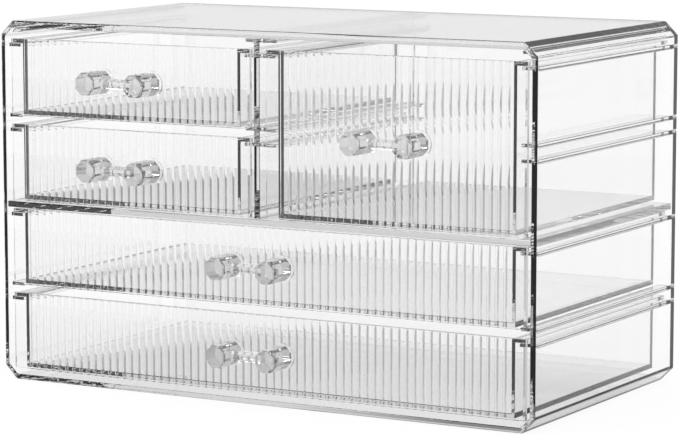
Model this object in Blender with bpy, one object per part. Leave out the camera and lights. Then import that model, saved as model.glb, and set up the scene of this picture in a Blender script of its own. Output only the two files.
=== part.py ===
# Clear five-drawer organiser: a chamfered case with a shelf, a divider and guide rails,
# two small drawers, one tall drawer and two wide drawers.
# Units are metres, +Z is up and the drawers open towards -Y.

import math

import bmesh
import bpy

# Case
CASE_WIDTH = 0.240
CASE_DEPTH = 0.128
CASE_HEIGHT = 0.146
CASE_CHAMFER = 0.0054
SIDE_WALL = 0.0020
TOP_PLATE = 0.0028
FLOOR_PLATE = 0.0022
BACK_WALL = 0.0020
RIM_BEVEL = 0.0006

# Shelf and divider, bonded into the case
SHELF_THICKNESS = 0.0024
DIVIDER_THICKNESS = 0.0025
INNER_SETBACK = 0.0004
BOND_GAP = 0.0003

# Rows of drawers, counted from the bottom
ROW_COUNT = 4
BOTTOM_CLEARANCE = 0.0025
TOP_CLEARANCE = 0.0045
SHELF_CLEARANCE = 0.0006

# Guide rails in pairs, which hold the lip of each tray
RAIL_REACH = 0.0057
RAIL_THICKNESS = 0.0013
RAIL_START_CLEARANCE = 0.0008
LIP_WIDTH = 0.0049
LIP_THICKNESS = 0.0015
LIP_DROP = 0.0002
LIP_END_CLEARANCE = 0.0024
LIP_REST_GAP = 0.0003
LIP_PLAY = 0.0028

# Trays
TRAY_WALL = 0.0014
TRAY_FLOOR = 0.0018
TRAY_FLOOR_RISE = 0.0003
TRAY_BACK_CLEARANCE = 0.0010

# Ribbed fronts
FRONT_THICKNESS = 0.0022
FRONT_END_BEVEL = 0.0006
RIB_PITCH = 0.00346
RIB_WIDTH = 0.0017
RIB_CREST = 0.0008
RIB_HEIGHT = 0.0006
PAD_MARGIN = 0.0005
PAD_SIDES = 24

# Handles: two cut barrels joined by a bar
BARREL_FLATS = 0.0088
BARREL_LENGTH = 0.0131
BARREL_SPACING = 0.0225
BARREL_SIDES = 8
BARREL_FRONT_BEVEL = 0.0006
BAR_SIZE = 0.0040
BAR_SIDES = 8
FINGER_GAP = 0.0046

CUT_OVERRUN = 0.002

# Places that follow from the sizes above
HALF_WIDTH = CASE_WIDTH / 2
HANDLE_STAND = BOND_GAP + BARREL_LENGTH
CASE_FRONT = (HANDLE_STAND - CASE_DEPTH) / 2
CASE_BACK = CASE_FRONT + CASE_DEPTH
BAY_BACK = CASE_BACK - BACK_WALL
BAY_SIDE = HALF_WIDTH - SIDE_WALL
BAY_TOP = CASE_HEIGHT - TOP_PLATE
ROW_GAP = SHELF_THICKNESS + 2 * SHELF_CLEARANCE
ROWS_HEIGHT = BAY_TOP - FLOOR_PLATE - BOTTOM_CLEARANCE - TOP_CLEARANCE
FRONT_HEIGHT = (ROWS_HEIGHT - (ROW_COUNT - 1) * ROW_GAP) / ROW_COUNT
ROW_PITCH = FRONT_HEIGHT + ROW_GAP
LOWER_ROWS = ROW_COUNT // 2
FRONT_FACE = RIB_HEIGHT
FRONT_REAR = RIB_HEIGHT + FRONT_THICKNESS
RAIL_START = CASE_FRONT + FRONT_REAR + RAIL_START_CLEARANCE
TRAY_INSET = LIP_WIDTH
BARREL_RADIUS = BARREL_FLATS / 2 / math.cos(math.pi / BARREL_SIDES)


def row_bottom(row):
    return FLOOR_PLATE + BOTTOM_CLEARANCE + row * ROW_PITCH


def lip_top(row):
    return row_bottom(row) + FRONT_HEIGHT - LIP_DROP


SHELF_BOTTOM = row_bottom(LOWER_ROWS) - SHELF_CLEARANCE - SHELF_THICKNESS
SHELF_TOP = SHELF_BOTTOM + SHELF_THICKNESS


# Scene and materials

def clear_scene():
    for item in list(bpy.data.objects):
        bpy.data.objects.remove(item, do_unlink=True)


def clear_plastic(name, color, roughness):
    material = bpy.data.materials.new(name)
    material.use_nodes = True
    shader = material.node_tree.nodes["Principled BSDF"]
    shader.inputs["Base Color"].default_value = (*color, 1.0)
    shader.inputs["Roughness"].default_value = roughness
    shader.inputs["Metallic"].default_value = 0.0
    shader.inputs["IOR"].default_value = 1.49
    shader.inputs["Transmission Weight"].default_value = 1.0
    return material


# Mesh builders

def finish_object(name, mesh_data, material, parent=None):
    bmesh.ops.recalc_face_normals(mesh_data, faces=mesh_data.faces)
    mesh = bpy.data.meshes.new(name)
    mesh_data.to_mesh(mesh)
    mesh_data.free()
    item = bpy.data.objects.new(name, mesh)
    bpy.context.scene.collection.objects.link(item)
    item.data.materials.append(material)
    item.parent = parent
    return item


def loft(name, rings, material, parent=None):
    """Closed solid through rings of equal point counts, capped at both ends."""
    mesh_data = bmesh.new()
    loops = [[mesh_data.verts.new(point) for point in ring] for ring in rings]
    for near, far in zip(loops, loops[1:]):
        count = len(near)
        for index in range(count):
            after = (index + 1) % count
            mesh_data.faces.new((near[index], near[after], far[after], far[index]))
    mesh_data.faces.new(loops[0])
    mesh_data.faces.new(loops[-1])
    return finish_object(name, mesh_data, material, parent)


def box(name, low, high, material, parent=None):
    corners = [(low[0], low[1]), (high[0], low[1]), (high[0], high[1]), (low[0], high[1])]
    rings = [[(x, y, z) for x, y in corners] for z in (low[2], high[2])]
    return loft(name, rings, material, parent)


def combine(target, operand, operation):
    """Join, cut or keep the shared part of target with operand, which is left out."""
    modifier = target.modifiers.new(operation.lower(), "BOOLEAN")
    modifier.operation = operation
    modifier.solver = "EXACT"
    modifier.object = operand
    operand.hide_render = True
    operand.display_type = "WIRE"


# Case

def case_outline(side, floor, top, chamfer):
    """Eight corners (x, z) of the case section, each side moved in by its own distance."""
    right = HALF_WIDTH - side
    low = floor
    high = CASE_HEIGHT - top
    slant = chamfer * math.sqrt(2)
    upper_sum = HALF_WIDTH + CASE_HEIGHT - CASE_CHAMFER - slant
    lower_difference = HALF_WIDTH - CASE_CHAMFER - slant
    right_half = [
        (lower_difference + low, low),
        (right, right - lower_difference),
        (right, upper_sum - right),
        (upper_sum - high, high),
    ]
    left_half = [(-x, z) for x, z in reversed(right_half)]
    return right_half + left_half


def section_ring(outline, y):
    return [(x, y, z) for x, z in outline]


def guide_levels():
    """Low and high z of every rail, with a pair round each lip and the shelf over row two."""
    levels = []
    for row in range(ROW_COUNT):
        under = lip_top(row) - LIP_THICKNESS - LIP_REST_GAP
        levels.append((row, under - RAIL_THICKNESS, under))
        if row != LOWER_ROWS - 1:
            over = lip_top(row) + LIP_PLAY
            levels.append((row, over, over + RAIL_THICKNESS))
    return levels


def build_case(material):
    full = case_outline(0, 0, 0, 0)
    rim = case_outline(RIM_BEVEL, RIM_BEVEL, RIM_BEVEL, RIM_BEVEL)
    rings = [
        section_ring(rim, CASE_FRONT),
        section_ring(full, CASE_FRONT + RIM_BEVEL),
        section_ring(full, CASE_BACK),
    ]
    shell = loft("case_shell", rings, material)

    inner = case_outline(SIDE_WALL, FLOOR_PLATE, TOP_PLATE, SIDE_WALL)
    cavity_rings = [
        section_ring(inner, CASE_FRONT - CUT_OVERRUN),
        section_ring(inner, BAY_BACK),
    ]
    cavity = loft("cavity_cutter", cavity_rings, material)
    for row, low, high in guide_levels():
        for side in (-1, 1):
            tip = side * (BAY_SIDE - RAIL_REACH)
            root = side * (HALF_WIDTH + CUT_OVERRUN)
            rail = box(
                f"rail_keeper_{row}_{side}_{round(low * 1e6)}",
                (min(tip, root), RAIL_START, low),
                (max(tip, root), CASE_BACK + CUT_OVERRUN, high),
                material,
            )
            combine(cavity, rail, "DIFFERENCE")
    combine(shell, cavity, "DIFFERENCE")


def build_shelf(material):
    box(
        "middle_shelf",
        (-BAY_SIDE + BOND_GAP, CASE_FRONT + INNER_SETBACK, SHELF_BOTTOM),
        (BAY_SIDE - BOND_GAP, BAY_BACK - BOND_GAP, SHELF_TOP),
        material,
    )


def build_divider(material):
    half = DIVIDER_THICKNESS / 2
    back = BAY_BACK - BOND_GAP
    divider = box(
        "centre_divider",
        (-half, CASE_FRONT + INNER_SETBACK, SHELF_TOP + BOND_GAP),
        (half, back, BAY_TOP - BOND_GAP),
        material,
    )
    reach = half + RAIL_REACH
    for row, low, high in guide_levels():
        if row < LOWER_ROWS:
            continue
        rails = box(
            f"divider_rails_{round(low * 1e6)}",
            (-reach, RAIL_START, low),
            (reach, back, high),
            material,
        )
        combine(divider, rails, "UNION")


# Drawers, each built about its own point: middle of its width, case front, front's lower edge

def build_tray(name, half_front, height, material, parent):
    half = half_front - TRAY_INSET
    low = TRAY_FLOOR_RISE
    high = height - LIP_DROP
    front = FRONT_REAR + BOND_GAP
    back = CASE_DEPTH - BACK_WALL - TRAY_BACK_CLEARANCE
    tray = box(name, (-half, front, low), (half, back, high), material, parent)
    lip = box(
        f"{name}_lip_blank",
        (-half - LIP_WIDTH, front, high - LIP_THICKNESS),
        (half + LIP_WIDTH, back, high),
        material,
        parent,
    )
    combine(tray, lip, "UNION")
    hollow = box(
        f"{name}_hollow",
        (-half + TRAY_WALL, front - CUT_OVERRUN, low + TRAY_FLOOR),
        (half - TRAY_WALL, back - TRAY_WALL, high + CUT_OVERRUN),
        material,
        parent,
    )
    combine(tray, hollow, "DIFFERENCE")


def front_outline(half_front):
    """Corners (x, y) of a front seen from above: plain ends, ribs between the tray walls."""
    ribbed_half = half_front - TRAY_INSET
    rib_count = int(2 * ribbed_half / RIB_PITCH)
    first = -(rib_count - 1) * RIB_PITCH / 2
    points = [
        (-half_front, FRONT_REAR),
        (-half_front, FRONT_FACE + FRONT_END_BEVEL),
        (-half_front + FRONT_END_BEVEL, FRONT_FACE),
    ]
    for index in range(rib_count):
        centre = first + index * RIB_PITCH
        points.append((centre - RIB_WIDTH / 2, FRONT_FACE))
        points.append((centre - RIB_CREST / 2, FRONT_FACE - RIB_HEIGHT))
        points.append((centre + RIB_CREST / 2, FRONT_FACE - RIB_HEIGHT))
        points.append((centre + RIB_WIDTH / 2, FRONT_FACE))
    points.append((half_front - FRONT_END_BEVEL, FRONT_FACE))
    points.append((half_front, FRONT_FACE + FRONT_END_BEVEL))
    points.append((half_front, FRONT_REAR))
    return points


def disc_ring(centre_x, centre_z, y, radius, sides):
    step = 2 * math.pi / sides
    angles = [(index + 0.5) * step for index in range(sides)]
    return [(centre_x + radius * math.cos(a), y, centre_z + radius * math.sin(a)) for a in angles]


def build_front(name, half_front, height, material, parent):
    outline = front_outline(half_front)
    rings = [[(x, y, z) for x, y in outline] for z in (0, height)]
    front = loft(name, rings, material, parent)
    pad_radius = BARREL_RADIUS + PAD_MARGIN
    for side in (-1, 1):
        pad_rings = [
            disc_ring(side * BARREL_SPACING / 2, height / 2, y, pad_radius, PAD_SIDES)
            for y in (0, FRONT_FACE + FRONT_THICKNESS / 2)
        ]
        pad = loft(f"{name}_pad_{side}", pad_rings, material, parent)
        combine(front, pad, "UNION")


def build_handle(name, height, material, parent):
    rear = -BOND_GAP
    tip = rear - BARREL_LENGTH
    radius = BARREL_RADIUS
    barrels = []
    for side in (-1, 1):
        centre = side * BARREL_SPACING / 2
        rings = [
            disc_ring(centre, height / 2, rear, radius, BARREL_SIDES),
            disc_ring(centre, height / 2, tip + BARREL_FRONT_BEVEL, radius, BARREL_SIDES),
            disc_ring(centre, height / 2, tip, radius - BARREL_FRONT_BEVEL, BARREL_SIDES),
        ]
        barrels.append(rings)
    handle = loft(name, barrels[0], material, parent)
    other = loft(f"{name}_second_barrel", barrels[1], material, parent)

    bar_radius = BAR_SIZE / 2 / math.cos(math.pi / BAR_SIDES)
    bar_y = rear - FINGER_GAP - BAR_SIZE / 2
    bar_rings = []
    for x in (-BARREL_SPACING / 2, BARREL_SPACING / 2):
        ring = disc_ring(bar_y, height / 2, x, bar_radius, BAR_SIDES)
        bar_rings.append([(along, across, z) for across, along, z in ring])
    bar = loft(f"{name}_bar", bar_rings, material, parent)
    combine(handle, bar, "UNION")
    combine(handle, other, "UNION")


def build_drawer(prefix, left, right, row, row_span, materials):
    height = row_span * FRONT_HEIGHT + (row_span - 1) * ROW_GAP
    anchor = bpy.data.objects.new(f"{prefix}_slide", None)
    anchor.location = ((left + right) / 2, CASE_FRONT, row_bottom(row))
    bpy.context.scene.collection.objects.link(anchor)
    half_front = (right - left) / 2
    build_tray(f"{prefix}_tray", half_front, height, materials["tray"], anchor)
    build_front(f"{prefix}_front", half_front, height, materials["front"], anchor)
    build_handle(f"{prefix}_handle", height, materials["handle"], anchor)


def build_all():
    clear_scene()
    case_material = clear_plastic("clear_case", (0.97, 0.98, 0.98), 0.02)
    drawer_materials = {
        "tray": clear_plastic("clear_tray", (0.96, 0.97, 0.97), 0.03),
        "front": clear_plastic("clear_ribbed_front", (0.96, 0.97, 0.97), 0.03),
        "handle": clear_plastic("clear_cut_handle", (0.98, 0.98, 0.98), 0.01),
    }
    build_case(case_material)
    build_shelf(case_material)
    build_divider(case_material)

    outer = BAY_SIDE - LIP_END_CLEARANCE
    inner = DIVIDER_THICKNESS / 2 + LIP_END_CLEARANCE
    build_drawer("bottom_drawer", -outer, outer, 0, 1, drawer_materials)
    build_drawer("second_drawer", -outer, outer, 1, 1, drawer_materials)
    build_drawer("left_lower_drawer", -outer, -inner, LOWER_ROWS, 1, drawer_materials)
    build_drawer("left_upper_drawer", -outer, -inner, LOWER_ROWS + 1, 1, drawer_materials)
    build_drawer("tall_drawer", inner, outer, LOWER_ROWS, ROW_COUNT - LOWER_ROWS, drawer_materials)


build_all()
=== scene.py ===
import math
import bmesh
import bpy
from mathutils import Matrix, Vector


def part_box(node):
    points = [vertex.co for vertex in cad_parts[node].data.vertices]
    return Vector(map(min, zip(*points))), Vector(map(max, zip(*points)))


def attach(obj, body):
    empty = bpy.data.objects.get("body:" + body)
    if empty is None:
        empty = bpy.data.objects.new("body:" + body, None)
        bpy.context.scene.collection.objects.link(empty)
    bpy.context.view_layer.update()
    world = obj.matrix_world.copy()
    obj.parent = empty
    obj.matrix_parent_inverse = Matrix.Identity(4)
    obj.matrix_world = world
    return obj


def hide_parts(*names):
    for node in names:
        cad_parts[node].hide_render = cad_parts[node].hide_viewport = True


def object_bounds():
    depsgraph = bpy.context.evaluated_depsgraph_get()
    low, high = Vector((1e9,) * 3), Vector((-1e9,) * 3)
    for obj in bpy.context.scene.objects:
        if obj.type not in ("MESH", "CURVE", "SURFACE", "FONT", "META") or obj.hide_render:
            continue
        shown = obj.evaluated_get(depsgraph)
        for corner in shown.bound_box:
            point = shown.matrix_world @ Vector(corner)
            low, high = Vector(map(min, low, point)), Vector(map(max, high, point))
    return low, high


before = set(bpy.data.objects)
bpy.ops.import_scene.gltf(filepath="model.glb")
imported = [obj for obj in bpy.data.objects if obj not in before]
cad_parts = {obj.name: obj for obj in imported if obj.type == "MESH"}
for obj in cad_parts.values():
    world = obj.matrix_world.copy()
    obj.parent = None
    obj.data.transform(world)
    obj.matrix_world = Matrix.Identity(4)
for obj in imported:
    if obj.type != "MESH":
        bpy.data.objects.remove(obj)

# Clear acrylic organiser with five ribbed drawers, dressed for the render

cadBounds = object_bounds()
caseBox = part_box("case_shell")
drawers = ["bottom_drawer", "second_drawer", "left_lower_drawer", "left_upper_drawer", "tall_drawer"]


# Small helpers

def hexColor(text):
    # sRGB hex to linear light
    channels = [int(text[i:i + 2], 16) / 255 for i in (1, 3, 5)]
    linear = [c / 12.92 if c <= 0.04045 else ((c + 0.055) / 1.055) ** 2.4 for c in channels]
    return (*linear, 1.0)


def addNode(tree, kind, inputs=(), **settings):
    # settings come first, since some change the sockets; a node given as a value means its first output
    node = tree.nodes.new(kind)
    for name, value in settings.items():
        setattr(node, name, value)
    pairs = inputs.items() if isinstance(inputs, dict) else enumerate(inputs)
    for socket, value in pairs:
        if isinstance(value, bpy.types.Node):
            value = value.outputs[0]
        if isinstance(value, bpy.types.NodeSocket):
            tree.links.new(value, node.inputs[socket])
        else:
            node.inputs[socket].default_value = value
    return node


def makeObject(name, mesh):
    obj = bpy.data.objects.new(name, mesh)
    bpy.context.scene.collection.objects.link(obj)
    return obj


def bakeObject(obj):
    # the evaluated shape becomes the object's own mesh, and its modifiers go
    graph = bpy.context.evaluated_depsgraph_get()
    mesh = bpy.data.meshes.new_from_object(obj.evaluated_get(graph))
    obj.modifiers.clear()
    obj.data = mesh
    return obj


merge = {"distance": 0.000002, "flatBelow": 0.5}   # metres, and degrees between faces that become one


def mergedCopy(node, name):
    # a CAD node is loose triangles, so a copy of it is merged before its edges are worked
    shape = bmesh.new()
    shape.from_mesh(bpy.data.objects[node].data)
    bmesh.ops.remove_doubles(shape, verts=shape.verts, dist=merge["distance"])
    flat = math.radians(merge["flatBelow"])
    bmesh.ops.dissolve_limit(shape, angle_limit=flat, verts=shape.verts, edges=shape.edges)
    mesh = bpy.data.meshes.new(name)
    shape.to_mesh(mesh)
    shape.free()
    return makeObject(name, mesh)


def softenEdges(obj, width, segments, angle):
    bevel = obj.modifiers.new("softEdge", "BEVEL")
    bevel.width = width
    bevel.segments = segments
    bevel.limit_method = "ANGLE"
    bevel.angle_limit = math.radians(angle)
    bevel.use_clamp_overlap = True
    bevel.miter_outer = "MITER_SHARP"
    bakeObject(obj)


def finishPiece(obj, material, node, body):
    obj.data.materials.clear()
    obj.data.materials.append(material)
    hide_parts(node)
    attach(obj, body)


# Clear acrylic in five finishes

plastic = {
    "ior": 1.49,
    "bodyGrey": "#ECECEC",   # what is left of white after a long way through the sheet
    "bodyDensity": 8.0,      # per metre
    "cutShadeDensity": 100.0,     # light goes a long way round inside the cut barrels and comes out greyer, and this density, far above the sheet's own, adds painted shade
    "sinkPitch": 0.030,      # slow waves that the mould leaves in a flat face
    "sinkDepth": 0.000004,
    "sinkDetail": 1.0,
    "sinkFineness": 0.4,
    "wipePitch": 0.0012,     # fine wiping marks, drawn wider than real ones so that they show
    "wipeStretch": 0.2,      # they run from front to back
    "wipeDetail": 3.0,
    "wipeFineness": 0.6,
    "wipeFrom": 0.55,        # below this the polish is whole
    "wipeTo": 0.85,
    "wipeRoughness": 0.012,
}


def clearPlastic(name, tint, sink, density=plastic["bodyDensity"]):
    # looked at straight it is as clear as glass, and its edges go dark where light turns inside them
    material = bpy.data.materials.new(name)
    material.use_nodes = True
    tree = material.node_tree
    place = addNode(tree, "ShaderNodeTexCoord").outputs["Object"]
    waves = addNode(tree, "ShaderNodeTexNoise", {
        "Vector": place, "Scale": 1 / plastic["sinkPitch"],
        "Detail": plastic["sinkDetail"], "Roughness": plastic["sinkFineness"]})
    height = addNode(tree, "ShaderNodeMath", [waves, sink], operation="MULTIPLY")
    bump = addNode(tree, "ShaderNodeBump", {"Height": height, "Strength": 1.0, "Distance": 1.0})
    stretched = addNode(tree, "ShaderNodeMapping", {
        "Vector": place, "Scale": (1.0, plastic["wipeStretch"], 1.0)})
    marks = addNode(tree, "ShaderNodeTexNoise", {
        "Vector": stretched, "Scale": 1 / plastic["wipePitch"],
        "Detail": plastic["wipeDetail"], "Roughness": plastic["wipeFineness"]})
    worn = addNode(tree, "ShaderNodeMapRange", {
        "Value": marks, "From Min": plastic["wipeFrom"], "From Max": plastic["wipeTo"],
        "To Min": 0.0, "To Max": plastic["wipeRoughness"]})
    body = addNode(tree, "ShaderNodeVolumeAbsorption", {
        "Color": hexColor(plastic["bodyGrey"]), "Density": density})
    shader = tree.nodes["Principled BSDF"]
    shader.inputs["Base Color"].default_value = hexColor(tint)
    shader.inputs["IOR"].default_value = plastic["ior"]
    shader.inputs["Transmission Weight"].default_value = 1.0
    tree.links.new(worn.outputs["Result"], shader.inputs["Roughness"])
    tree.links.new(bump.outputs["Normal"], shader.inputs["Normal"])
    tree.links.new(body.outputs["Volume"], tree.nodes["Material Output"].inputs["Volume"])
    return material


sawn = {
    "pitch": 0.0016,     # between the cutter's marks, several times the real ones so that they show
    "depth": 0.00003,
    "stretch": 0.25,
    "slant": 55.0,       # degrees
    "detail": 2.0,
    "fineness": 0.5,
    "chamfer": 0.0054,   # the case's corner cuts
    "reach": 0.000135,   # how far from a cut face the marks still count
}


def sawnEdges(material):
    # the rim round the open front and the corner cuts keep slanting cutter marks, and glitter dark and light
    tree = material.node_tree
    low, high = caseBox
    place = addNode(tree, "ShaderNodeTexCoord").outputs["Object"]
    spot = addNode(tree, "ShaderNodeSeparateXYZ", [place]).outputs
    rim = addNode(tree, "ShaderNodeMath", [spot["Y"], low[1] + sawn["reach"]], operation="LESS_THAN")
    out = addNode(tree, "ShaderNodeMath", [spot["X"]], operation="ABSOLUTE")
    outAndUp = addNode(tree, "ShaderNodeMath", [out, spot["Z"]], operation="ADD")
    cornerSum = high[0] + high[2] - sawn["chamfer"] - sawn["reach"]
    corner = addNode(tree, "ShaderNodeMath", [outAndUp, cornerSum], operation="GREATER_THAN")
    edge = addNode(tree, "ShaderNodeMath", [rim, corner], operation="MAXIMUM")
    slant = math.radians(sawn["slant"])
    turned = addNode(tree, "ShaderNodeMapping", {
        "Vector": place, "Rotation": (0.0, slant, slant), "Scale": (1.0, sawn["stretch"], sawn["stretch"])})
    cuts = addNode(tree, "ShaderNodeTexNoise", {
        "Vector": turned, "Scale": 1 / sawn["pitch"],
        "Detail": sawn["detail"], "Roughness": sawn["fineness"]})
    centred = addNode(tree, "ShaderNodeMath", [cuts, 0.5], operation="SUBTRACT")
    sharp = addNode(tree, "ShaderNodeMath", [centred], operation="ABSOLUTE")
    scaled = addNode(tree, "ShaderNodeMath", [sharp, sawn["depth"]], operation="MULTIPLY")
    depth = addNode(tree, "ShaderNodeMath", [scaled, edge], operation="MULTIPLY")
    height = next(node for node in tree.nodes if node.type == "BUMP").inputs["Height"]
    both = addNode(tree, "ShaderNodeMath", [height.links[0].from_socket, depth], operation="ADD")
    tree.links.new(both.outputs[0], height)


# moulded acrylic with a high polish: open faces stay clear, rails and corners draw grey and black lines
polishedCase = clearPlastic("polishedAcrylicCase", "#FFFFFF", plastic["sinkDepth"])
sawnEdges(polishedCase)
# extruded acrylic sheet glued in place: seen along its length it is a bright strip between dark edges
gluedPlate = clearPlastic("gluedAcrylicPlate", "#FFFFFF", plastic["sinkDepth"])
# thin injection-moulded acrylic: a shade less white than the case
mouldedTray = clearPlastic("mouldedAcrylicTray", "#FEFEFE", plastic["sinkDepth"])
# acrylic moulded with ribs: each rib bends the room into a grey and a white line
ribbedPanel = clearPlastic("ribbedAcrylicPanel", "#FFFFFF", plastic["sinkDepth"] / 2)
# acrylic cut in facets and flame polished, with white glints like cut glass; its facets are grey partly from
# painted shade, an absorption far denser than the sheet's own
cutCrystal = clearPlastic("facetCutAcrylic", "#FFFFFF", 0.0, plastic["cutShadeDensity"])
print("materials made")


# Case, shelf and divider

sheets = {
    "caseEdge": 0.00025,
    "plateEdge": 0.00020,
    "trayEdge": 0.00020,
    "segments": 2,
    "angle": 30,   # degrees, past which an edge is softened
}


def dressSheet(node, name, width, material, body):
    piece = mergedCopy(node, name)
    softenEdges(piece, width, sheets["segments"], sheets["angle"])
    finishPiece(piece, material, node, body)


dressSheet("case_shell", "caseShell", sheets["caseEdge"], polishedCase, "case")
dressSheet("middle_shelf", "shelfPlate", sheets["plateEdge"], gluedPlate, "case")
dressSheet("centre_divider", "dividerPlate", sheets["plateEdge"], gluedPlate, "case")
print("case dressed")


# Ribbed fronts, grown by Geometry Nodes

ribs = {
    "pitch": 0.00346,
    "width": 0.0017,
    "height": 0.0006,
    "plainEnd": 0.0049,   # no ribs beyond the tray walls
    "faces": 10,          # faces across one rib
    "endCut": 0.0006,
    "edgeCut": 0.0002,
    "smoothBelow": 30,    # degrees between faces that still shade as one curve
    "padMargin": 0.0005,  # the round pads stand out round the barrels
    "padRibs": 3,         # and reach this many rib heights into the plate
    "padSides": 48,
}


def ribbedFrontTree():
    # a box with spare columns and rows, pulled into ribs, chamfered ends and eased long edges
    spare = 2.0      # columns at each end, which make the chamfer
    outerRow = 0.4   # a row further from the middle than this share of the height is an outer one
    tree = bpy.data.node_groups.new("ribbedFront", "GeometryNodeTree")
    tree.interface.new_socket("Geometry", in_out="INPUT", socket_type="NodeSocketGeometry")
    for name in ("Width", "Height", "Depth", "Rib Height", "Rib Pitch", "Rib Width", "End Cut", "Edge Cut"):
        tree.interface.new_socket(name, in_out="INPUT", socket_type="NodeSocketFloat")
    for name in ("Rib Count", "Rib Faces"):
        tree.interface.new_socket(name, in_out="INPUT", socket_type="NodeSocketInt")
    tree.interface.new_socket("Finish", in_out="INPUT", socket_type="NodeSocketMaterial")
    tree.interface.new_socket("Geometry", in_out="OUTPUT", socket_type="NodeSocketGeometry")
    given = addNode(tree, "NodeGroupInput").outputs

    perRib = addNode(tree, "ShaderNodeMath", [given["Rib Faces"], 1.0], operation="ADD")
    ribColumns = addNode(tree, "ShaderNodeMath", [given["Rib Count"], perRib], operation="MULTIPLY")
    columns = addNode(tree, "ShaderNodeMath", [ribColumns, 2 * spare], operation="ADD")
    size = addNode(tree, "ShaderNodeCombineXYZ", [given["Width"], given["Depth"], given["Height"]])
    block = addNode(tree, "GeometryNodeMeshCube", {
        "Size": size, "Vertices X": columns, "Vertices Y": 2, "Vertices Z": 4})
    spot = addNode(tree, "ShaderNodeSeparateXYZ", [addNode(tree, "GeometryNodeInputPosition")]).outputs

    # which column this is, and how far across its rib, from -1 to 1
    shareLeft = addNode(tree, "ShaderNodeMath", [spot["X"], given["Width"]], operation="DIVIDE")
    share = addNode(tree, "ShaderNodeMath", [shareLeft, 0.5], operation="ADD")
    lastColumn = addNode(tree, "ShaderNodeMath", [columns, 1.0], operation="SUBTRACT")
    columnRaw = addNode(tree, "ShaderNodeMath", [share, lastColumn], operation="MULTIPLY")
    column = addNode(tree, "ShaderNodeMath", [columnRaw], operation="ROUND")
    inner = addNode(tree, "ShaderNodeMath", [column, spare], operation="SUBTRACT")
    innerHalf = addNode(tree, "ShaderNodeMath", [inner, 0.5], operation="ADD")
    ribRaw = addNode(tree, "ShaderNodeMath", [innerHalf, perRib], operation="DIVIDE")
    rib = addNode(tree, "ShaderNodeMath", [ribRaw], operation="FLOOR")
    ribStart = addNode(tree, "ShaderNodeMath", [rib, perRib], operation="MULTIPLY")
    step = addNode(tree, "ShaderNodeMath", [inner, ribStart], operation="SUBTRACT")
    halfFaces = addNode(tree, "ShaderNodeMath", [given["Rib Faces"], 0.5], operation="MULTIPLY")
    stepShare = addNode(tree, "ShaderNodeMath", [step, halfFaces], operation="DIVIDE")
    across = addNode(tree, "ShaderNodeMath", [stepShare, 1.0], operation="SUBTRACT")

    # the rib's place and its half wave
    gapCount = addNode(tree, "ShaderNodeMath", [given["Rib Count"], 1.0], operation="SUBTRACT")
    middleRib = addNode(tree, "ShaderNodeMath", [gapCount, 0.5], operation="MULTIPLY")
    fromMiddle = addNode(tree, "ShaderNodeMath", [rib, middleRib], operation="SUBTRACT")
    centre = addNode(tree, "ShaderNodeMath", [fromMiddle, given["Rib Pitch"]], operation="MULTIPLY")
    halfRib = addNode(tree, "ShaderNodeMath", [given["Rib Width"], 0.5], operation="MULTIPLY")
    sideways = addNode(tree, "ShaderNodeMath", [across, halfRib], operation="MULTIPLY")
    ribX = addNode(tree, "ShaderNodeMath", [centre, sideways], operation="ADD")
    quarterTurn = addNode(tree, "ShaderNodeMath", [across, math.pi / 2], operation="MULTIPLY")
    wave = addNode(tree, "ShaderNodeMath", [quarterTurn], operation="COSINE")
    crown = addNode(tree, "ShaderNodeMath", [wave, 0.0], operation="MAXIMUM")
    below = addNode(tree, "ShaderNodeMath", [1.0, crown], operation="SUBTRACT")
    ribY = addNode(tree, "ShaderNodeMath", [below, given["Rib Height"]], operation="MULTIPLY")

    # the two outer columns at each end make the chamfer
    side = addNode(tree, "ShaderNodeMath", [spot["X"]], operation="SIGN")
    fromRight = addNode(tree, "ShaderNodeMath", [lastColumn, column], operation="SUBTRACT")
    fromEnd = addNode(tree, "ShaderNodeMath", [column, fromRight], operation="MINIMUM")
    outer = addNode(tree, "ShaderNodeMath", [fromEnd, 0.5], operation="LESS_THAN")
    margin = addNode(tree, "ShaderNodeMath", [fromEnd, spare - 0.5], operation="LESS_THAN")
    halfWidth = addNode(tree, "ShaderNodeMath", [given["Width"], 0.5], operation="MULTIPLY")
    drawnIn = addNode(tree, "GeometryNodeSwitch", {
        "Switch": outer, "True": 0.0, "False": given["End Cut"]}, input_type="FLOAT")
    cutWidth = addNode(tree, "ShaderNodeMath", [halfWidth, drawnIn], operation="SUBTRACT")
    endX = addNode(tree, "ShaderNodeMath", [side, cutWidth], operation="MULTIPLY")
    x = addNode(tree, "GeometryNodeSwitch", {
        "Switch": margin, "True": endX, "False": ribX}, input_type="FLOAT")
    cutBack = addNode(tree, "ShaderNodeMath", [outer, given["End Cut"]], operation="MULTIPLY")
    flatY = addNode(tree, "ShaderNodeMath", [given["Rib Height"], cutBack], operation="ADD")
    frontY = addNode(tree, "GeometryNodeSwitch", {
        "Switch": margin, "True": flatY, "False": ribY}, input_type="FLOAT")

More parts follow.
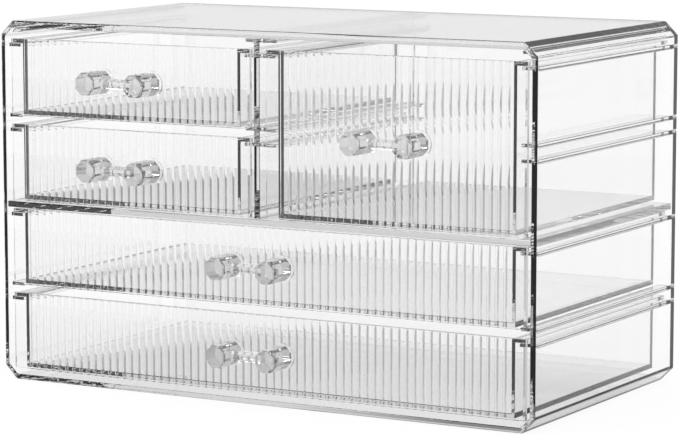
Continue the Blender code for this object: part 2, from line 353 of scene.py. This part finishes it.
    # the top and bottom rows are drawn back a little
    row = addNode(tree, "ShaderNodeMath", [spot["Z"], given["Height"]], operation="DIVIDE")
    rowUp = addNode(tree, "ShaderNodeMath", [row], operation="ABSOLUTE")
    rim = addNode(tree, "ShaderNodeMath", [rowUp, outerRow], operation="GREATER_THAN")
    upOrDown = addNode(tree, "ShaderNodeMath", [row], operation="SIGN")
    halfHeight = addNode(tree, "ShaderNodeMath", [given["Height"], 0.5], operation="MULTIPLY")
    trimmed = addNode(tree, "GeometryNodeSwitch", {
        "Switch": rim, "True": 0.0, "False": given["Edge Cut"]}, input_type="FLOAT")
    reach = addNode(tree, "ShaderNodeMath", [halfHeight, trimmed], operation="SUBTRACT")
    centredZ = addNode(tree, "ShaderNodeMath", [upOrDown, reach], operation="MULTIPLY")
    z = addNode(tree, "ShaderNodeMath", [centredZ, halfHeight], operation="ADD")
    easing = addNode(tree, "ShaderNodeMath", [rim, given["Edge Cut"]], operation="MULTIPLY")
    eased = addNode(tree, "ShaderNodeMath", [frontY, easing], operation="ADD")
    isBack = addNode(tree, "ShaderNodeMath", [spot["Y"], 0.0], operation="GREATER_THAN")
    y = addNode(tree, "GeometryNodeSwitch", {
        "Switch": isBack, "True": given["Depth"], "False": eased}, input_type="FLOAT")

    place = addNode(tree, "ShaderNodeCombineXYZ", [x, y, z])
    shaped = addNode(tree, "GeometryNodeSetPosition", {"Geometry": block, "Position": place})
    real = addNode(tree, "GeometryNodeRealizeInstances", {"Geometry": shaped})
    done = addNode(tree, "GeometryNodeSetMaterial", {"Geometry": real, "Material": given["Finish"]})
    addNode(tree, "NodeGroupOutput", {"Geometry": done})
    return tree


frontTree = ribbedFrontTree()


def growFront(name, width, height, depth):
    obj = makeObject(name, bpy.data.meshes.new(name))
    grow = obj.modifiers.new("ribs", "NODES")
    grow.node_group = frontTree
    count = int((width - 2 * ribs["plainEnd"]) / ribs["pitch"])
    sizes = {"Width": width, "Height": height, "Depth": depth, "Rib Height": ribs["height"],
             "Rib Pitch": ribs["pitch"], "Rib Width": ribs["width"], "End Cut": ribs["endCut"],
             "Edge Cut": ribs["edgeCut"], "Rib Count": count, "Rib Faces": ribs["faces"],
             "Finish": ribbedPanel}
    for item in frontTree.interface.items_tree:
        if item.in_out == "INPUT" and item.name in sizes:
            grow[item.identifier] = sizes[item.name]
    return bakeObject(obj)


def discMesh(name, centre, radius, near, far, sides):
    # a short round boss along Y
    shape = bmesh.new()
    rings = []
    for y in (near, far):
        ring = []
        for i in range(sides):
            angle = 2 * math.pi * (i + 0.5) / sides
            ring.append(shape.verts.new((
                centre[0] + radius * math.cos(angle), y, centre[1] + radius * math.sin(angle))))
        rings.append(ring)
    for i in range(sides):
        after = (i + 1) % sides
        shape.faces.new((rings[0][i], rings[0][after], rings[1][after], rings[1][i]))
    shape.faces.new(rings[0])
    shape.faces.new(rings[1])
    bmesh.ops.recalc_face_normals(shape, faces=shape.faces)
    mesh = bpy.data.meshes.new(name)
    shape.to_mesh(mesh)
    shape.free()
    return mesh


def unite(obj, others):
    for other in others:
        join = obj.modifiers.new("join", "BOOLEAN")
        join.operation = "UNION"
        join.solver = "EXACT"
        join.object = other
    bakeObject(obj)
    for other in others:
        bpy.data.objects.remove(other, do_unlink=True)


barrel = {
    "flats": 0.0088,   # from flat side to flat side
    "sides": 8,
    "edge": 0.00018,
    "segments": 1,
    "angle": 25,
}
barrelRadius = barrel["flats"] / 2 / math.cos(math.pi / barrel["sides"])


def makeFront(drawer):
    low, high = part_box(drawer + "_front")
    gripLow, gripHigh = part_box(drawer + "_handle")
    obj = growFront(drawer + "RibbedPanel", high[0] - low[0], high[2] - low[2], high[1] - low[1])
    obj.data.transform(Matrix.Translation(((low[0] + high[0]) / 2, low[1], low[2])))
    middle = (gripLow[2] + gripHigh[2]) / 2
    radius = barrelRadius + ribs["padMargin"]
    behind = low[1] + ribs["padRibs"] * ribs["height"]
    pads = []
    for x in (gripLow[0] + barrel["flats"] / 2, gripHigh[0] - barrel["flats"] / 2):
        disc = discMesh("pad", (x, middle), radius, low[1], behind, ribs["padSides"])
        pads.append(makeObject("pad", disc))
    unite(obj, pads)
    obj.data.polygons.foreach_set("use_smooth", [True] * len(obj.data.polygons))
    obj.data.set_sharp_from_angle(angle=math.radians(ribs["smoothBelow"]))
    finishPiece(obj, ribbedPanel, drawer + "_front", drawer)


for drawer in drawers:
    makeFront(drawer)
print("ribbed fronts grown")


# Trays

for drawer in drawers:
    dressSheet(drawer + "_tray", drawer + "Tray", sheets["trayEdge"], mouldedTray, drawer)
print("trays dressed")


# Handles, two cut barrels and a bar

for drawer in drawers:
    grip = mergedCopy(drawer + "_handle", drawer + "CutHandle")
    softenEdges(grip, barrel["edge"], barrel["segments"], barrel["angle"])
    finishPiece(grip, cutCrystal, drawer + "_handle", drawer)
print("handles dressed")


# Studio

studio = {
    "floorSize": 6.0,
    "floorDrop": 0.0002,
    "floorPaper": "#F4F4F4",
    "floorBlend": 0.04,       # how gently the floor changes from its light to its dark side
    "roomBlend": 0.02,        # and the room, as a share of a full direction
    "darkLevel": 0.02,        # the room behind on the right
    "frontMirrored": 0.5,     # the room before the object, as its faces mirror it
    "frontTurned": 0.2,       # and as light turned often sees it
    "floorMirrored": 0.6,     # the floor under and before the object, in the same two ways
    "floorTurned": 0.6,
    "edgeBounces": 3.0,       # light turned more often inside a sheet shows the dark side of the room
    "flankLevel": 0.35,       # far to the left behind, where the flanks of the ribs look
    "flankFrom": 0.62,
    "flankTo": 0.80,
    "flankBack": 0.15,
    "shadowShare": 0.10,      # of the floor's white that a shadow can take
    "floorGlow": 1.04,
    "lampTarget": (0.0, 0.0, 0.07),
}
lamps = {
    "softboxLeft": {"centre": (-0.9, -0.9, 1.1), "width": 0.9, "height": 0.5, "power": 6.0},
    "softboxRight": {"centre": (1.1, -0.5, 0.9), "width": 0.5, "height": 0.8, "power": 3.0},
}


def roomLevel(tree, right, back, width, frontOnce, frontOften):
    # white to the eye and through the plastic; what a face mirrors from in front is dimmer,
    # and light turned often inside a sheet sees white behind on the left and dark on the right
    bounces = addNode(tree, "ShaderNodeLightPath").outputs["Glossy Depth"]
    mirrored = addNode(tree, "ShaderNodeMath", [bounces, 0.5], operation="GREATER_THAN")
    turned = addNode(tree, "ShaderNodeMath", [bounces, studio["edgeBounces"] - 0.5], operation="GREATER_THAN")
    isBehind = addNode(tree, "ShaderNodeMapRange", [back, -width, width, 0.0, 1.0])
    behind = addNode(tree, "ShaderNodeMapRange", [right, -width, width, 1.0, studio["darkLevel"]])
    dimmed = addNode(tree, "ShaderNodeMix", {
        "Factor": isBehind, "A": frontOnce, "B": 1.0}, data_type="FLOAT")
    once = addNode(tree, "ShaderNodeMix", {
        "Factor": mirrored, "A": 1.0, "B": dimmed}, data_type="FLOAT")
    often = addNode(tree, "ShaderNodeMix", {
        "Factor": isBehind, "A": frontOften, "B": behind}, data_type="FLOAT")
    return addNode(tree, "ShaderNodeMix", {
        "Factor": turned, "A": once, "B": often}, data_type="FLOAT")


def makeWorld():
    world = bpy.data.worlds.new("whiteRoom")
    world.use_nodes = True
    tree = world.node_tree
    tree.nodes.clear()
    looking = addNode(tree, "ShaderNodeTexCoord").outputs["Generated"]
    way = addNode(tree, "ShaderNodeSeparateXYZ", [looking]).outputs
    level = roomLevel(tree, way["X"], way["Y"], studio["roomBlend"],
                      studio["frontMirrored"], studio["frontTurned"])
    far = addNode(tree, "ShaderNodeMapRange", [way["X"], -studio["flankFrom"], -studio["flankTo"], 0.0, 1.0])
    behind = addNode(tree, "ShaderNodeMapRange", [way["Y"], 0.0, studio["flankBack"], 0.0, 1.0])
    seen = addNode(tree, "ShaderNodeLightPath").outputs["Is Camera Ray"]
    hidden = addNode(tree, "ShaderNodeMath", [1.0, seen], operation="SUBTRACT")
    corner = addNode(tree, "ShaderNodeMath", [far, behind], operation="MULTIPLY")
    flank = addNode(tree, "ShaderNodeMath", [corner, hidden], operation="MULTIPLY")
    dimming = addNode(tree, "ShaderNodeMix", {
        "Factor": flank, "A": 1.0, "B": studio["flankLevel"]}, data_type="FLOAT")
    strength = addNode(tree, "ShaderNodeMath", [level, dimming], operation="MULTIPLY")
    light = addNode(tree, "ShaderNodeBackground", {"Strength": strength})
    addNode(tree, "ShaderNodeOutputWorld", {"Surface": light})
    bpy.context.scene.world = world


def makeFloor():
    half = studio["floorSize"] / 2
    mesh = bpy.data.meshes.new("studioFloor")
    level = cadBounds[0][2] - studio["floorDrop"]
    corners = [(-half, -half, level), (half, -half, level), (half, half, level), (-half, half, level)]
    mesh.from_pydata(corners, [], [(0, 1, 2, 3)])
    floor = makeObject("studioFloor", mesh)
    material = bpy.data.materials.new("whiteStudioPaper")
    material.use_nodes = True
    tree = material.node_tree
    tree.nodes.clear()
    standing = addNode(tree, "ShaderNodeTexCoord").outputs["Object"]
    place = addNode(tree, "ShaderNodeSeparateXYZ", [standing]).outputs
    behind = addNode(tree, "ShaderNodeMath", [place["Y"], cadBounds[1][1]], operation="SUBTRACT")
    white = roomLevel(tree, place["X"], behind.outputs[0], studio["floorBlend"],
                      studio["floorMirrored"], studio["floorTurned"])
    strength = addNode(tree, "ShaderNodeMath", [white, studio["floorGlow"]], operation="MULTIPLY")
    glow = addNode(tree, "ShaderNodeEmission", {"Strength": strength})
    paper = addNode(tree, "ShaderNodeBsdfDiffuse", {"Color": hexColor(studio["floorPaper"])})
    path = addNode(tree, "ShaderNodeLightPath").outputs
    looked = addNode(tree, "ShaderNodeMath", [
        path["Is Camera Ray"], path["Is Glossy Ray"]], operation="MAXIMUM")
    seen = addNode(tree, "ShaderNodeMath", [looked, path["Is Transmission Ray"]], operation="MAXIMUM")
    share = addNode(tree, "ShaderNodeMath", [seen, 1 - studio["shadowShare"]], operation="MULTIPLY")
    mix = addNode(tree, "ShaderNodeMixShader", [share, paper, glow])
    addNode(tree, "ShaderNodeOutputMaterial", {"Surface": mix})
    mesh.materials.append(material)


def makeLamp(name, centre, width, height, power):
    lamp = bpy.data.lights.new(name, "AREA")
    lamp.shape = "RECTANGLE"
    lamp.size = width
    lamp.size_y = height
    lamp.energy = power
    obj = makeObject(name, lamp)
    obj.location = centre
    aim = Vector(studio["lampTarget"]) - Vector(centre)
    obj.rotation_euler = aim.to_track_quat("-Z", "Y").to_euler()
    obj.visible_camera = False


makeWorld()
makeFloor()
for lampName, settings in lamps.items():
    makeLamp(lampName, **settings)
print("studio lit")


# Camera, solved on the photograph's corners

view = {
    "azimuth": 29.594,
    "elevation": 7.585,
    "distance": 1.20838,
    "targetX": 0.036904,
    "targetZ": 0.075411,
    "focalPixels": 3172.3,
    "framePixels": 679,
    "sensor": 36.0,
    "bounces": 64,
    "throughBounces": 40,
    "glossyBounces": 18,   # light crosses a thick plate within these turns, and is lost in a thin wall
}


def makeCamera():
    azimuth = math.radians(view["azimuth"])
    elevation = math.radians(view["elevation"])
    level = math.cos(elevation)
    back = Vector((math.sin(azimuth) * level, -math.cos(azimuth) * level, math.sin(elevation)))
    data = bpy.data.cameras.new("photoCamera")
    data.sensor_width = view["sensor"]
    data.lens = view["focalPixels"] / view["framePixels"] * view["sensor"]
    camera = makeObject("photoCamera", data)
    camera.location = Vector((view["targetX"], caseBox[0][1], view["targetZ"])) + back * view["distance"]
    camera.rotation_euler = (-back).to_track_quat("-Z", "Y").to_euler()
    bpy.context.scene.camera = camera


makeCamera()
scene = bpy.context.scene
scene.view_settings.view_transform = "Standard"
scene.cycles.max_bounces = view["bounces"]
scene.cycles.transmission_bounces = view["throughBounces"]
scene.cycles.glossy_bounces = view["glossyBounces"]
scene.cycles.caustics_reflective = False
scene.cycles.caustics_refractive = False
print("camera set")
